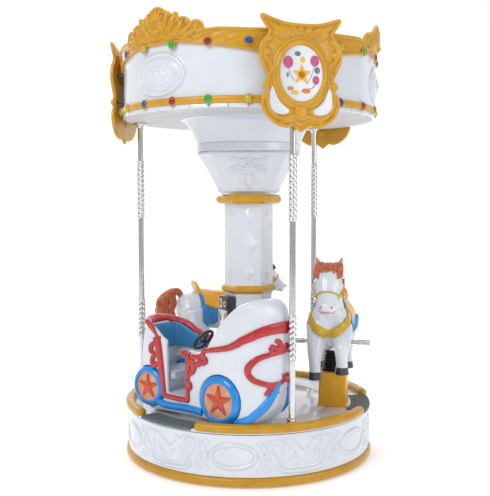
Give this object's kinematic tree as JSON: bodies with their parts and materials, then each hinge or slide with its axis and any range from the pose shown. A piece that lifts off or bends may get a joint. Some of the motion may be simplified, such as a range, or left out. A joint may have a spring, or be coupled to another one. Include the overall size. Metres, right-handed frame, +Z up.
{
  "type": "merry go round",
  "caption": "Small coin-operated roundabout: a turning platform with chariot and galloping horses on lift rods, around a column that carries a round crested canopy.",
  "frame": {"origin": "on the floor, on the upright axis that the platform turns about, at the centre of the floor anchor circle", "axes": "+Z up, -Y towards the front, from which the chariot is front left; +X to the right seen from the front"},
  "size_m": [1.2905, 1.2841, 2.05],
  "materials": {
    "white_shell": "gloss gel-coated moulding",
    "gold_trim": "gloss gold-yellow gel coat",
    "frame_steel": "grey primed steel",
    "bearing_steel": "machined steel",
    "chrome": "polished",
    "rubber_mat": "ribbed dark grey rubber",
    "bellows_rubber": "matt black rubber",
    "motor_paint": "hammered dark enamel",
    "black_plastic": "matt moulding",
    "brass": "turned",
    "gem_plastic": "clear coloured lamp caps in four colours",
    "picture_print": "printed board under clear coat",
    "pedestal_yellow": "gloss yellow gel coat",
    "chariot_blue": "gloss blue gel coat",
    "chariot_red": "gloss red gel coat",
    "wheel_disc": "pink-beige with orange-red arms",
    "cushion_vinyl": "blue vinyl",
    "saddle_paint": "blue blanket with a yellow seat",
    "hair_paint": "orange-brown, brush shaded",
    "button_red": "gloss"
  },
  "bodies": {
    "base": {"base_frame": "frame_steel", "skirt_panels": "white_shell", "lower_rim_ring": "gold_trim", "cable_gland": "black_plastic", "slew_inner_ring": "bearing_steel", "drive_gearmotor": "motor_paint", "control_cabinet": "black_plastic", "slip_ring_stator": "black_plastic"},
    "drive_pinion": {"drive_pinion": "bearing_steel"},
    "horse_1": {"horse_body_1": "white_shell", "saddle_1": "saddle_paint", "mane_tail_1": "hair_paint", "footrest_1": "chrome", "lift_rod_1": "chrome"},
    "crank_1": {"crank_1": "bearing_steel"},
    "horse_2": {"horse_body_2": "white_shell", "saddle_2": "saddle_paint", "mane_tail_2": "hair_paint", "footrest_2": "chrome", "lift_rod_2": "chrome"},
    "crank_2": {"crank_2": "bearing_steel"},
    "steering_wheel": {"steering_wheel": "black_plastic"},
    "coin_door": {"coin_door": "chrome"},
    "start_button": {"start_button": "button_red"},
    "turntable": {"bellows_1": "bellows_rubber", "bellows_2": "bellows_rubber", "canopy_ceiling": "white_shell", "canopy_frame": "frame_steel", "canopy_panels": "white_shell", "canopy_roof": "white_shell", "capital": "white_shell", "chariot_body": "white_shell", "chariot_cushion": "cushion_vinyl", "chariot_sills": "chariot_blue", "chariot_trim": "chariot_red", "chariot_tyres": "chariot_blue", "chariot_wheel_discs": "wheel_disc", "coin_box": "black_plastic", "column_base_shell": "white_shell", "column_core": "frame_steel", "column_shaft": "white_shell", "crests": "gold_trim", "deck": "white_shell", "gem_lamps": "gem_plastic", "guide_bushes": "brass", "lift_gearmotors": "motor_paint", "lower_band": "gold_trim", "lower_column_ring": "gold_trim", "pedestals": "pedestal_yellow", "platform_frame": "frame_steel", "pole_fittings": "chrome", "poles": "chrome", "rim_segments": "gold_trim", "shield_pictures": "picture_print", "shields": "gold_trim", "slew_gear_ring": "bearing_steel", "slip_ring_rotor": "brass", "tread_pads": "rubber_mat", "upper_band": "gold_trim", "upper_column_ring": "gold_trim"}
  },
  "joints": [
    {"name": "turntable_spin", "type": "hinge", "parent": "base", "child": "turntable", "pos_m": [0, 0, 0.116], "axis": [0, 0, 1], "continuous": true},
    {"name": "pinion_spin", "type": "hinge", "parent": "base", "child": "drive_pinion", "pos_m": [0.098, 0.16974, 0.116], "axis": [0, 0, 1], "continuous": true},
    {"name": "horse_1_lift", "type": "slide", "parent": "turntable", "child": "horse_1", "axis": [0, 0, 1], "range_m": [-0.045, 0.045], "deforming": ["bellows_1"]},
    {"name": "crank_1_turn", "type": "hinge", "parent": "turntable", "child": "crank_1", "pos_m": [0.44218, -0.07797, 0.3], "axis": [0.9848, -0.1736, 0], "continuous": true},
    {"name": "horse_2_lift", "type": "slide", "parent": "turntable", "child": "horse_2", "axis": [0, 0, 1], "range_m": [-0.045, 0.045], "deforming": ["bellows_2"]},
    {"name": "crank_2_turn", "type": "hinge", "parent": "turntable", "child": "crank_2", "pos_m": [-0.15357, 0.42192, 0.3], "axis": [-0.342, 0.9397, 0], "continuous": true},
    {"name": "steering_turn", "type": "hinge", "parent": "turntable", "child": "steering_wheel", "pos_m": [-0.2075, -0.27198, 0.585], "axis": [0.6472, -0.4702, -0.6], "continuous": true},
    {"name": "coin_door_hinge", "type": "hinge", "parent": "turntable", "child": "coin_door", "pos_m": [-0.14398, -0.03694, 0.645], "axis": [0, 0, -1], "range_deg": [0, 95]},
    {"name": "start_button_press", "type": "slide", "parent": "turntable", "child": "start_button", "axis": [0.866, 0.5, 0], "range_m": [0, 0.004], "stiffness_N_per_m": 400, "springref_m": -0.001}
  ],
  "couplings": [
    {"joint": "pinion_spin", "follows": "turntable_spin", "ratio": -4.4444}
  ]
}
